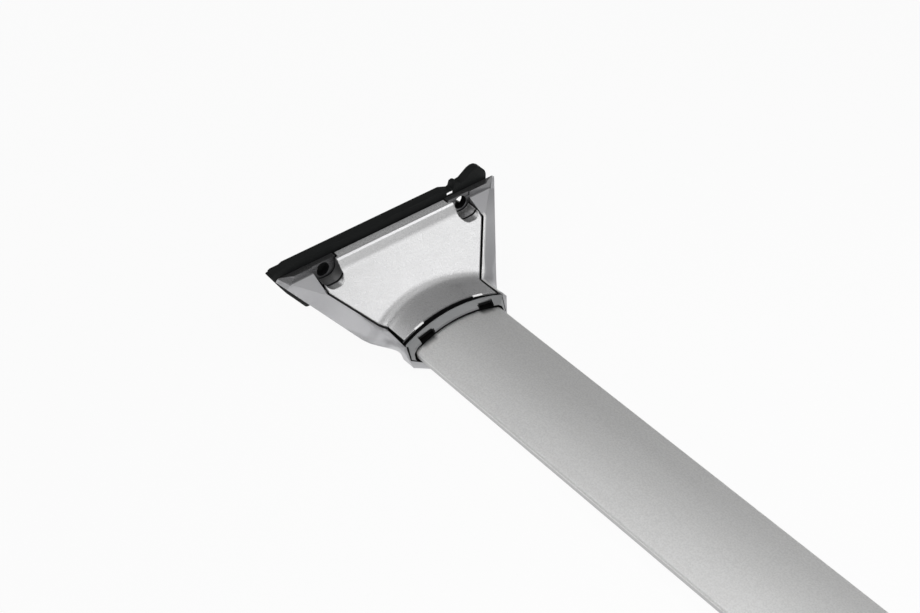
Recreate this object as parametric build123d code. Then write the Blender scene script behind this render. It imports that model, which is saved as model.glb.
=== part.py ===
from build123d import *
import math
import os

# Roof rack crossbar: a hollow bar carried at each end by a cast foot that bolts to a roof rail.
# Millimetres. X runs along the bar, Z is up, the floor under the feet is Z = 0.
# A foot is built at the -X end with its own "reach": the distance outboard of the plane where
# the cover ends at the collar. The other foot is its mirror image.

# Whole part
overall_length = 1020.0

# Bar section
bar_width = 68.6
bar_height = 18.3
bar_crown_radius = 110.0
bar_flat_width = 32.0
bar_knee_width = 67.8
bar_knee_rise = 8.0
bar_corner_radius = 2.4
bar_wall = 2.2
bar_web = 2.0
bar_web_spacing = 22.0
bar_seat_height = 5.0
bar_insertion = 26.0

# Foot, along its reach
foot_reach = 63.0
neck_reach = 16.6
seam_top_reach = 44.1
brow_reach = 50.5
ridge_reach = 55.6
pocket_floor_reach = 58.5
casting_front = 3.6
mouth_tilt = 25.0

# Foot, heights and widths
neck_rise = 5.6
neck_radius = 120.0
ridge_height = 57.1
strip_fall = 0.3
brow_height = 50.9
panel_slope = 0.884
panel_blend_radius = 14.0
brow_blend_radius = 25.0
ridge_radius = 1.2
seam_mouth_width = 77.6
seam_neck_width = 75.4
seam_top_width = 123.8
flare_slope = 0.78
flare_ease = 9.0
edge_low_height = 16.5
edge_settle = 8.0
edge_rise_start = 12.0
edge_rise_ease = 10.0
edge_rise_slope = 0.835
underside_start = 28.0
underside_ease = 6.0
underside_slope = 0.88
base_half_width = 20.0
base_flare_slope = 0.92
knee_out_mouth = 0.82
knee_out = 0.56
knee_up = 0.40
lip_width = 2.4
ear_top_width = 18.0
ear_top_height = 52.5
ear_tip_height = 56.0
ear_corner = 1.2
ear_chamfer = 3.0

# Walls and clearances
cover_thickness = 2.8
casting_wall = 3.5
floor_wall = 4.5
shoulder_wall = 6.3
shoulder_rise = 2.5
seam_gap = 1.5
seam_lead = 3.0
ledge_width = 3.0
bar_clearance = 0.3
sleeve_gap = 0.25
slip = 0.2

# Collar
collar_band = 4.6
collar_back = 2.4
collar_face_depth = 2.6
collar_face_angle = 58.0
collar_base_drop = 2.8
rim_thickness = 3.0
sleeve_wall = 1.1
sleeve_length = 7.0
sleeve_recess = 1.0
notch_offset = 23.3
notch_width = 11.0
notch_depth = 3.0
notch_length = 3.0

# Rail bolts
bolt_spacing = 110.2
bolt_height = 51.5
bolt_hole = 9.0
pocket_inner = 8.7
pocket_outer = 6.8
pocket_drop = 6.0
pocket_corner = 6.0
pocket_skirt = 2.2

# Gasket
gasket_thickness = 6.0
gasket_top_height = 63.0
gasket_overhang = 7.0
gasket_low_height = 23.5
gasket_low_width = 132.0
gasket_corner_radius = 4.0
curl_centre = 69.4
curl_radius = 11.5
curl_rise = 6.0
lift_height = 56.5
lift_top = 48.0
lift_low = 56.0
nub_radius = 2.8
nub_centre = 55.5
nub_rise = 1.2

# Fasteners
bar_screw_size = 5.0
bar_screw_head = 10.0
bar_screw_first = 10.5
bar_screw_pitch = 11.0
bar_screw_tip = 2.0
bar_screw_drive = 1.9
bar_screw_drive_depth = 1.7
nut_plate_thickness = 4.0
nut_plate_margin = 4.5
countersink_angle = 45.0
cover_screw_size = 3.6
cover_screw_head = 7.0
cover_screw_head_height = 2.4
cover_screw_reach = 41.0
cover_screw_spacing = 44.0
cover_screw_grip = 8.0
cover_screw_drive = 1.5
cover_screw_drive_depth = 1.2
boss_wall = 2.2
column_top_height = 27.0
column_seat = 3.0

# Derived from the sizes above
seam_x = overall_length / 2 - gasket_thickness - foot_reach
bar_half = bar_width / 2
bar_top = bar_seat_height + bar_height
bar_length = 2 * (seam_x + bar_insertion)
mouth_half = bar_half + collar_band + rim_thickness
neck_crown = bar_top + neck_rise
tall = 2 * ridge_height
wide = 4 * foot_reach
overrun = 20.0
flare_stations = [0, 3, 6, 9, 12, neck_reach, 20, 24, 28]
underside_stations = [31, 34]


def arc_drop(radius, half):
    """Return how far an arc falls from its crown at a distance from the middle."""
    return radius - math.sqrt(radius**2 - half**2)


seam_height = neck_crown - arc_drop(neck_radius, seam_mouth_width / 2)
pocket_wall = bolt_spacing / 2 + pocket_outer


def cross_plane(reach):
    """Return the plane across the bar at a reach, local x along Y, local y along Z."""
    return Plane(origin=(-reach, 0, 0), x_dir=(0, 1, 0), z_dir=(1, 0, 0))


def across(face, inner_reach, outer_reach):
    """Return a face of the cross plane extruded between two reaches."""
    return extrude(cross_plane(outer_reach) * face, amount=outer_reach - inner_reach)


def mouth_slab(front, back):
    """Return the slab between two tilted planes, their distances taken at the seam's height."""
    thickness = (front - back) * math.cos(math.radians(mouth_tilt))
    slab = Rot(0, -mouth_tilt, 0) * Box(thickness, wide, 4 * tall)
    return Pos((front + back) / 2, 0, seam_height) * slab


def mouth_plane(distance):
    """Return the tilted plane of the mouth, its local y measured from the seam's height."""
    angle = math.radians(mouth_tilt)
    normal = (math.cos(angle), 0, math.sin(angle))
    return Plane(origin=(distance, 0, seam_height), x_dir=(0, 1, 0), z_dir=normal)


def bar_face(grow=0.0):
    """Return the filled bar section, grown evenly outwards."""
    shoulder = bar_top - arc_drop(bar_crown_radius, bar_half)
    knee = bar_seat_height + bar_knee_rise
    side = [
        (-bar_half, shoulder),
        (-bar_knee_width / 2, knee),
        (-bar_flat_width / 2, bar_seat_height),
        (bar_flat_width / 2, bar_seat_height),
        (bar_knee_width / 2, knee),
        (bar_half, shoulder),
    ]
    crown = ThreePointArc(side[-1], (0, bar_top), side[0])
    face = make_face(Polyline(*side) + crown)
    face = fillet(face.vertices(), bar_corner_radius)
    if grow:
        face = offset(face, amount=grow)
    return face


def seated_bar_face(grow):
    """Return the grown bar section lifted so that its flat underside stays on the seat."""
    return Pos(0, grow) * bar_face(grow)


def screw_reaches():
    """Return the two reaches of the bar screws."""
    return [bar_screw_first, bar_screw_first + bar_screw_pitch]


def crossbar():
    """Return the hollow bar with its two webs and the screw holes in its underside."""
    outer = extrude(Plane.YZ * bar_face(), amount=bar_length / 2, both=True)
    inner = extrude(Plane.YZ * bar_face(-bar_wall), amount=bar_length / 2, both=True)
    for side in (-1, 1):
        inner -= Pos(0, side * bar_web_spacing / 2, 0) * Box(bar_length, bar_web, tall)
    bar = outer - inner
    for end in (-1, 1):
        for reach in screw_reaches():
            hole = Cylinder(bar_screw_size / 2 + slip, 4 * bar_wall)
            bar -= Pos(end * (seam_x + reach), 0, bar_seat_height) * hole
    return bar


def eased(reach, start, ease, slope):
    """Return a rise that starts smoothly and then keeps an even slope."""
    run = reach - start
    if run <= 0:
        return 0.0
    if run < ease:
        return slope * run**2 / (2 * ease)
    return slope * (run - ease / 2)


def flank_points(reach):
    """Return the edge, knee and base points of the casting's section at a reach."""
    edge_half = mouth_half + eased(reach, 0, flare_ease, flare_slope)
    edge_height = edge_low_height + eased(reach, edge_rise_start, edge_rise_ease, edge_rise_slope)
    settle = min(1.0, max(0.0, (edge_settle - reach) / edge_settle))
    edge_height += (seam_height - seam_gap - edge_low_height) * settle
    base_half = base_half_width + eased(reach, neck_reach, flare_ease, base_flare_slope)
    base_height = eased(reach, underside_start, underside_ease, underside_slope)
    knee_share = knee_out + (knee_out_mouth - knee_out) * settle
    knee_half = base_half + knee_share * (edge_half - base_half)
    knee_height = base_height + knee_up * (edge_height - base_height)
    return (edge_half, edge_height), (knee_half, knee_height), (base_half, base_height)


def between(reach, start, end, first, last):
    """Return a value that goes evenly from first to last between two reaches."""
    share = min(1.0, max(0.0, (reach - start) / (end - start)))
    return first + (last - first) * share


def shoulder_points(reach):
    """Return the outer and inner points of the strip along the seam and of the ear's top."""
    if reach <= neck_reach:
        inner = between(reach, 0, neck_reach, seam_mouth_width / 2, seam_neck_width / 2)
    else:
        inner = between(reach, neck_reach, seam_top_reach, seam_neck_width / 2, pocket_wall)
    panel = brow_height - panel_slope * (brow_reach - min(reach, seam_top_reach))
    height = between(reach, seam_top_reach, pocket_floor_reach, max(panel, seam_height), ear_top_height)
    lip = between(reach, 0, neck_reach, seam_gap, lip_width)
    lip = between(reach, seam_top_reach, pocket_floor_reach, lip, ear_top_width)
    return (inner + lip, height), (inner, height)


def mirrored_face(reach, right):
    """Return a face of the cross plane from the points of its right half, lowest first."""
    left = [(-half, height) for half, height in reversed(right)]
    return cross_plane(reach) * make_face(Polyline(*(right + left), close=True))


def flank_section(reach):
    """Return the casting's outer section at a reach, open to above the top surface."""
    edge, knee, base = flank_points(reach)
    shoulder, inner = shoulder_points(reach)
    return mirrored_face(reach, [base, knee, edge, shoulder, inner, (inner[0], tall)])


def flange_section(reach):
    """Return the section of the end flange at a reach, up to the full height at the ears."""
    edge, knee, base = flank_points(reach)
    if reach < foot_reach:
        tip = shoulder_points(reach)[0]
    else:
        tip = (edge[0] - ear_corner, ear_tip_height)
    crest = (tip[0] - ear_chamfer, tip[1] + ear_chamfer)
    return mirrored_face(reach, [base, knee, edge, tip, crest, (crest[0], tall)])


def hollow_section(reach):
    """Return the section of the casting's inside at a reach."""
    edge, knee, base = flank_points(reach)
    right = [
        (base[0] - casting_wall / 2, base[1] + floor_wall),
        (knee[0] - casting_wall, knee[1] + casting_wall),
        (edge[0] - shoulder_wall, edge[1] + shoulder_rise),
        (edge[0] - shoulder_wall, tall),
    ]
    return mirrored_face(reach, right)


def envelope():
    """Return the casting's outer shape before the top surface trims it."""
    reaches = [-overrun] + flare_stations + underside_stations + [seam_top_reach, pocket_floor_reach]
    gusset = loft([flank_section(reach) for reach in reaches], ruled=True)
    flange = loft([flange_section(pocket_floor_reach), flange_section(foot_reach)], ruled=True)
    return (gusset + flange) & mouth_slab(casting_front, -2 * foot_reach)


def hollow():
    """Return the space inside the casting outboard of the bar's end."""
    reaches = [bar_insertion + bar_clearance] + underside_stations + [pocket_floor_reach]
    return loft([hollow_section(reach) for reach in reaches], ruled=True)


def top_block():
    """Return the solid under the foot's top surface: neck, blend, panel, ridge and strip."""
    half = mouth_half + flare_ease
    low = neck_crown - arc_drop(neck_radius, half)
    deep = -2 * overrun
    arch = Polyline((-half, low), (-half, deep), (half, deep), (half, low))
    arch += ThreePointArc((half, low), (0, neck_crown), (-half, low))
    neck = across(make_face(arch), -overrun, foot_reach + overrun)
    foot_of_panel = brow_height - panel_slope * (brow_reach + overrun)
    strip_slope = strip_fall / (foot_reach - ridge_reach)
    strip_end = ridge_height - strip_slope * (foot_reach + overrun - ridge_reach)
    profile = [
        (-foot_reach - overrun, deep),
        (-foot_reach - overrun, strip_end),
        (-ridge_reach, ridge_height),
        (-brow_reach, brow_height),
        (overrun, foot_of_panel),
        (overrun, deep),
    ]
    side = make_face(Polyline(*profile, close=True))
    corners = side.vertices().sort_by(Axis.Y)
    side = fillet(corners[-1], ridge_radius)
    brow = side.vertices().sort_by_distance((-brow_reach, brow_height, 0))[0]
    side = fillet(brow, brow_blend_radius)
    wedge = extrude(Plane.XZ * side, amount=wide, both=True)
    block = neck + wedge
    meeting = block.edges().filter_by(GeomType.ELLIPSE)
    return fillet(meeting, panel_blend_radius)


def seam_outline():
    """Return the plan outline of the seam between the cover and the casting."""
    inner_wall = bolt_spacing / 2 - pocket_inner - pocket_skirt
    points = [
        (-seam_lead, seam_mouth_width / 2),
        (neck_reach, seam_neck_width / 2),
        (seam_top_reach, seam_top_width / 2),
        (pocket_floor_reach, pocket_wall),
        (pocket_floor_reach, inner_wall),
        (foot_reach, inner_wall),
    ]
    outline = [(-reach, half) for reach, half in points]
    outline += [(-reach, -half) for reach, half in reversed(points)]
    return make_face(Polyline(*outline, close=True))


def seam_prism(grow):
    """Return the seam outline grown sideways and made into an upright prism."""
    face = offset(seam_outline(), amount=grow, kind=Kind.INTERSECTION)
    return Pos(0, 0, -overrun) * extrude(face, amount=tall + overrun)


def pocket(grow, inner_reach, outer_reach):
    """Return the two U-shaped bolt pockets, open upwards and grown evenly."""
    slots = []
    width = pocket_inner + pocket_outer + 2 * grow
    low = bolt_height - pocket_drop - grow
    for side in (-1, 1):
        middle = side * (bolt_spacing / 2 + (pocket_outer - pocket_inner) / 2)
        slot = Pos(middle, low + tall / 2) * RectangleRounded(width, tall, pocket_corner + grow)
        slots.append(across(slot, inner_reach, outer_reach))
    return slots[0] + slots[1]


def bolt_holes(inner_reach, outer_reach):
    """Return the two rail bolt holes between two reaches."""
    holes = []
    for side in (-1, 1):
        circle = Pos(side * bolt_spacing / 2, bolt_height) * Circle(bolt_hole / 2)
        holes.append(across(circle, inner_reach, outer_reach))
    return holes[0] + holes[1]


def cover_screw_places():
    """Return the plan positions of the cover screws."""
    return [(-cover_screw_reach, side * cover_screw_spacing / 2) for side in (-1, 1)]


def foot_cover(top):
    """Return the lid of the foot with its pocket skirts and screw bosses."""
    below = Pos(0, 0, -cover_thickness) * top
    inside = seam_prism(-seam_gap / 2)
    cover = (top - below) & inside & mouth_slab(-seam_gap / 2, -2 * foot_reach)
    skirt = pocket(pocket_skirt, seam_top_reach - overrun, pocket_floor_reach - slip)
    cover += skirt & top & inside
    cover -= pocket(0, -overrun, foot_reach + overrun)
    for x, y in cover_screw_places():
        boss = extrude(Circle(cover_screw_size / 2 + boss_wall), amount=tall)
        boss = (Pos(x, y, column_top_height) * boss) & top
        pilot = Pos(x, y, 0) * extrude(
            Circle(cover_screw_size / 2), amount=column_top_height + cover_screw_grip
        )
        cover = cover + boss - pilot
    return cover


def foot_casting(top):
    """Return the cast body of the foot."""
    body = envelope() & top
    below = Pos(0, 0, -cover_thickness) * top
    body -= (top - below) & seam_prism(seam_gap / 2)
    inside = seam_prism(-ledge_width)
    columns = []
    for x, y in cover_screw_places():
        column = extrude(Circle(cover_screw_head / 2 + boss_wall), amount=column_top_height)
        columns.append(Pos(x, y, 0) * column)
    body -= (hollow() & inside) - columns[0] - columns[1]
    sockets = pocket(pocket_skirt + slip, seam_top_reach - overrun, pocket_floor_reach)
    body -= sockets & seam_prism(seam_gap / 2)
    trough_top = Pos(0, bar_seat_height + bar_height / 2 + tall / 2) * Rectangle(
        bar_width + 2 * bar_clearance, tall
    )
    body -= across(seated_bar_face(bar_clearance), -overrun, bar_insertion + bar_clearance)
    body -= across(trough_top, -overrun, bar_insertion + 2 * bar_clearance)
    body -= across(bar_face(sleeve_gap + sleeve_wall), -overrun, sleeve_length)
    body -= collar_flange(foot_reach)
    body -= bolt_holes(pocket_floor_reach - slip, foot_reach + overrun)
    for reach in screw_reaches():
        body -= Pos(-reach, 0, 0) * bar_screw_hole()
    for x, y in cover_screw_places():
        body -= Pos(x, y, 0) * extrude(Circle(cover_screw_size / 2 + slip), amount=tall / 2)
        access = extrude(Circle(cover_screw_head / 2 + slip), amount=column_top_height - column_seat)
        body -= Pos(x, y, 0) * access
    return body


def collar_outline():
    """Return the collar's outline in the mouth plane, its top on the arc of the cover's neck."""
    half = bar_half + collar_band
    stretch = 1 / math.cos(math.radians(mouth_tilt))
    crown = (neck_crown - seam_height) * stretch
    shoulder = crown - arc_drop(neck_radius, half) * stretch
    knee_half = bar_knee_width / 2 + collar_band
    knee = (bar_seat_height + bar_knee_rise - seam_height) * stretch
    base_half = bar_flat_width / 2 + collar_band / 2
    base = (bar_seat_height - collar_base_drop - seam_height) * stretch
    side = [
        (-half, shoulder),
        (-knee_half, knee),
        (-base_half, base),
        (base_half, base),
        (knee_half, knee),
        (half, shoulder),
    ]
    top = ThreePointArc(side[-1], (0, crown), side[0])
    return make_face(Polyline(*side) + top)


def collar_flange(depth):
    """Return the collar's outline carried inboard from its back by a depth."""
    return extrude(mouth_plane(collar_back) * collar_outline(), amount=depth)


def bar_collar():
    """Return the ring around the bar with its sloped face and two notches."""
    ring = collar_flange((casting_front - collar_back) * math.cos(math.radians(mouth_tilt)))
    ring += extrude(
        mouth_plane(casting_front) * collar_outline(), amount=collar_face_depth, taper=collar_face_angle
    )
    ring -= across(bar_face(sleeve_gap + sleeve_wall + slip), -overrun, overrun)
    angle = math.degrees(math.asin(notch_offset / bar_crown_radius))
    crown_centre = bar_top - bar_crown_radius
    for side in (-1, 1):
        notch = Pos(0, 0, bar_crown_radius + notch_depth / 2) * Box(
            2 * notch_length, notch_width, notch_depth + 4 * sleeve_wall
        )
        turned = Rot(-side * angle, 0, 0) * notch
        ring -= Pos(casting_front + collar_face_depth, 0, crown_centre) * turned
    return ring


def bar_sleeve():
    """Return the rubber sleeve between the bar and the ring, ending a little behind the ring's face."""
    wall = bar_face(sleeve_gap + sleeve_wall) - bar_face(sleeve_gap)
    front = casting_front + collar_face_depth / math.cos(math.radians(mouth_tilt)) - sleeve_recess
    return across(wall, -overrun, sleeve_length) & mouth_slab(front, -2 * foot_reach)


def rail_gasket(curled):
    """Return the rubber pad on the flange's end face, with a curled end if asked for."""
    top_half = flank_points(foot_reach)[0][0] + gasket_overhang
    low_half = gasket_low_width / 2
    corners = [
        (-low_half, gasket_low_height),
        (low_half, gasket_low_height),
        (top_half, gasket_top_height),
        (-top_half, gasket_top_height),
    ]
    face = make_face(Polyline(*corners, close=True))
    face = fillet(face.vertices(), gasket_corner_radius)
    if curled:
        low = curl_radius - curl_rise
        curl_end = curl_centre + math.sqrt(curl_radius**2 - low**2)
        beyond = Rectangle(2 * top_half, 2 * gasket_top_height)
        face -= Pos(curl_end + top_half, gasket_top_height / 2) * beyond
        face += Pos(curl_centre, gasket_top_height - low) * Circle(curl_radius)
        face += Pos(nub_centre, gasket_top_height + nub_rise - nub_radius) * Circle(nub_radius)
        lifted = [(lift_top, lift_height), (lift_low, 0), (2 * top_half, 0), (2 * top_half, lift_height)]
        face -= make_face(Polyline(*lifted, close=True))
    pad = across(face, foot_reach, foot_reach + gasket_thickness)
    return pad - bolt_holes(pocket_floor_reach, foot_reach + overrun)


def countersink():
    """Return the cone of a countersunk bar screw head, its wide end down."""
    depth = (bar_screw_head - bar_screw_size) / 2 / math.tan(math.radians(countersink_angle))
    return extrude(Circle(bar_screw_head / 2), amount=depth, taper=countersink_angle)


def bar_screw_hole():
    """Return the countersunk hole for one bar screw through the casting's floor."""
    hole = extrude(Circle(bar_screw_size / 2 + slip), amount=tall / 2)
    return hole + countersink()


def nut_plate():
    """Return the tapped plate on the bar's inner underside."""
    length = bar_screw_pitch + 2 * nut_plate_margin
    width = bar_web_spacing - bar_web - 2 * slip
    middle = bar_screw_first + bar_screw_pitch / 2
    low = bar_seat_height + bar_wall
    plate = Pos(-middle, 0, low + nut_plate_thickness / 2) * Box(length, width, nut_plate_thickness)
    for reach in screw_reaches():
        plate -= Pos(-reach, 0, 0) * extrude(Circle(bar_screw_size / 2), amount=tall / 2)
    return plate


def bar_screw(reach):
    """Return one countersunk screw from the casting's floor up through the nut plate."""
    length = bar_seat_height + bar_wall + nut_plate_thickness + bar_screw_tip
    shank = extrude(Circle(bar_screw_size / 2), amount=length)
    drive = extrude(RegularPolygon(bar_screw_drive, 6), amount=bar_screw_drive_depth)
    return Pos(-reach, 0, 0) * (shank + countersink() - drive)


def cover_screw(place):
    """Return one pan-headed cover screw seated in its column."""
    seat = column_top_height - column_seat
    shank = extrude(Circle(cover_screw_size / 2), amount=column_seat + cover_screw_grip - slip)
    head = Pos(0, 0, -cover_screw_head_height) * extrude(
        Circle(cover_screw_head / 2), amount=cover_screw_head_height
    )
    drive = Pos(0, 0, -cover_screw_head_height) * extrude(
        RegularPolygon(cover_screw_drive, 6), amount=cover_screw_drive_depth
    )
    return Pos(place[0], place[1], seat) * (shank + head - drive)


def foot_pieces(curled):
    """Return the named pieces of one foot in its own frame."""
    top = top_block()
    pieces = {
        "foot_casting": foot_casting(top),
        "foot_cover": foot_cover(top),
        "bar_collar": bar_collar(),
        "bar_sleeve": bar_sleeve(),
        "rail_gasket": rail_gasket(curled),
        "nut_plate": nut_plate(),
    }
    for name, reach in zip(("inner", "outer"), screw_reaches()):
        pieces[f"bar_screw_{name}"] = bar_screw(reach)
    for name, place in zip(("front", "rear"), cover_screw_places()):
        pieces[f"cover_screw_{name}"] = cover_screw(place)
    return pieces


def main():
    """Build every piece and write one file for each."""
    os.makedirs("parts", exist_ok=True)
    export_step(crossbar(), "parts/crossbar.step")
    for name, piece in foot_pieces(True).items():
        export_step(Pos(-seam_x, 0, 0) * piece, f"parts/left_{name}.step")
    for name, piece in foot_pieces(False).items():
        placed = Pos(-seam_x, 0, 0) * piece
        export_step(mirror(placed, about=Plane.YZ), f"parts/right_{name}.step")


main()
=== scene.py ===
"""Roof rack crossbar: finishes, rubber pads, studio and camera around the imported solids."""

import logging
import math
from dataclasses import dataclass, field
from enum import Enum
from functools import partial, reduce

import bpy
from mathutils import Matrix, Vector


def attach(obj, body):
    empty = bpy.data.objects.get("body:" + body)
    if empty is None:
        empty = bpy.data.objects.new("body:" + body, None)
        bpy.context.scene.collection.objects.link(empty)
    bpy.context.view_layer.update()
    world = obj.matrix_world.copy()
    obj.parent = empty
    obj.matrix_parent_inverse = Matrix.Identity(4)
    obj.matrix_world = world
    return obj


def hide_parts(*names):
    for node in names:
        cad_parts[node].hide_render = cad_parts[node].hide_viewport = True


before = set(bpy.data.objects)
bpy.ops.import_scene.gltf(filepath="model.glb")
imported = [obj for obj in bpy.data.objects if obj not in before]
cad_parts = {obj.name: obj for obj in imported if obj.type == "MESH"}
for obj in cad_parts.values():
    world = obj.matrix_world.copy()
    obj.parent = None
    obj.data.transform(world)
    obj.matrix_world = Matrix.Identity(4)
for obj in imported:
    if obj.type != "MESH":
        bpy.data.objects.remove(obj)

LOG = logging.getLogger("crossbar")
MM = 0.001
WHITE = (1.0, 1.0, 1.0, 1.0)

Colour = tuple[float, float, float]
Point = tuple[float, float, float]
Outline = list[tuple[float, float]]
Fade = tuple[float, float]
Socket = bpy.types.NodeSocket
Node = bpy.types.Node
NodeTree = bpy.types.NodeTree
Material = bpy.types.Material
Piece = bpy.types.Object


class Slot(Enum):
    """Material slot names; the modelled pads' rubber finish bears the rubber's name."""

    RUBBER = "black_rubber"


class End(Enum):
    """The two ends of the bar, named for their side in X."""

    LEFT = "left"
    RIGHT = "right"


class Layer(Enum):
    """What a silver finish may carry on top of its flake."""

    # FLANGE colours the end flange darker and paints the bolt bores and the mouth's gap black as shade.
    FLANGE = "bare end flange, black bores"
    # SEAM lays painted shade along the seam and a painted highlight on its lip.
    SEAM = "grime along the cover's seam"
    # LID lays painted shade in the pockets and on the end over the mouth, and painted highlights on the
    # ridge and tabs.
    LID = "shading of the cover"
    # COLLAR lays painted shadow in the notches and around the bar, and painted shade on the collar's land.
    COLLAR = "shadow around the bar"


@dataclass(frozen=True)
class FootPlan:
    """Places on a foot and on the bar that the finishes follow.

    Lengths are in metres, shares and slopes are plain numbers. A reach is measured outboard from the mouth,
    the plane where the cover ends at the collar. A face is measured along the bar from its middle, a half
    width across the bar from its middle, and a height from the floor. A pair is where a change starts and
    where it ends.
    """

    mouth: float = 0.441
    rear_side: Fade = (-0.01, 0.01)

    # Painted shade along the cover's seam, and a painted highlight on its lip on the +Y side.
    seam_reach: Fade = (0.0166, 0.0441)
    seam_half: Fade = (0.0378, 0.0620)
    seam_height: Fade = (0.0224, 0.0450)
    seam_depth: Fade = (-0.0065, -0.0055)
    seam_start: Fade = (0.0, 0.001)
    seam_end: Fade = (0.045, 0.047)
    seam_share: Fade = (0.42, 0.52)
    lip_offset: float = 0.0020
    lip_fade: Fade = (0.0008, 0.0014)

    # The bolt bores and the mouth's gap, painted black as shade.
    bolt_half: float = 0.0551
    bolt_height: float = 0.0515
    bore_edge: Fade = (1.0, 1.04)
    bore_face: Fade = (0.4984, 0.4986)
    gap_face: Fade = (0.4412, 0.4418)
    gap_half: Fade = (0.0385, 0.0390)
    gap_height: Fade = (0.0180, 0.0190)

    # The cover: painted shade in its pockets, deeper on the -Y side, with a painted dark line on their wall;
    # painted shade on its end over the mouth; painted highlights on its ridge and front tabs.
    pocket_inner: Fade = (0.0462, 0.0463)
    pocket_outer: Fade = (0.0622, 0.0626)
    pocket_reach: Fade = (0.0482, 0.0490)
    pocket_shade: Fade = (0.62, 0.0)
    pocket_line: float = 0.0497
    pocket_line_fade: Fade = (0.0006, 0.0009)
    tab_fade: Fade = (0.0034, 0.0038)
    tab_depth: float = 0.0006
    lid_foot: float = 0.02084
    lid_lean: float = 0.4663
    lid_front: Fade = (0.0007, 0.0010)
    neck_crown: float = 0.0289
    neck_width: float = 0.24
    black_half: Fade = (0.0195, 0.0200)
    black_depth: float = 0.0013
    black_edge: Fade = (-0.0001, 0.0001)
    ridge_reach: float = 0.0555
    ridge_fade: Fade = (0.0003, 0.0012)
    ridge_height: Fade = (0.0558, 0.0566)
    strip_reach: Fade = (0.0565, 0.0571)
    strip_half: Fade = (0.0450, 0.0456)

    # The collar's notches, rim and outer line, painted dark as shadow, and the turn of its land, which is
    # painted as shade.
    bar_crown: float = 0.0233
    bar_width: float = 0.22
    notch_inner: Fade = (0.0174, 0.0177)
    notch_outer: Fade = (0.0289, 0.0292)
    notch_rise: Fade = (0.0037, 0.0041)
    rim_half: Fade = (0.0325, 0.0335)
    collar_half: float = 0.0387
    knee_half: float = 0.0385
    knee_height: float = 0.013
    knee_across: float = 0.4716
    knee_up: float = 0.8821
    line_inset: Fade = (0.0008, 0.0010)
    line_height: Fade = (0.0215, 0.0222)
    land_turn: Fade = (0.46, 0.52)

    sweep_reach: Fade = (0.020, 0.030)
    sweep_half: Fade = (0.0395, 0.0415)
    # The end flange, which is coloured darker, and the tips of its ears.
    flange_face: Fade = (0.4986, 0.4990)
    flange_half: Fade = (0.0856, 0.0876)
    sill_half: Fade = (0.0630, 0.0640)
    sill_height: Fade = (0.043, 0.0515)
    sill_edge: Fade = (-0.0002, 0.0002)
    tip_half: Fade = (0.0799, 0.0868)
    tip_rise: Fade = (0.0, 0.0056)
    ear_half: Fade = (0.0780, 0.0784)
    ear_face: Fade = (0.5030, 0.5034)
    ear_height: Fade = (0.0500, 0.0510)

    # The bar's blunt sides, painted darker as shade, and the painted shadow under the collar's notches.
    side_half: Fade = (0.0330, 0.0338)
    side_height: Fade = (0.0160, 0.0170)
    low_height: Fade = (0.0132, 0.0145)
    shadow_face: Fade = (0.4295, 0.4355)
    shadow_middle: float = 0.0233
    shadow_fade: Fade = (0.0035, 0.0070)
    shadow_height: Fade = (0.015, 0.016)


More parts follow.
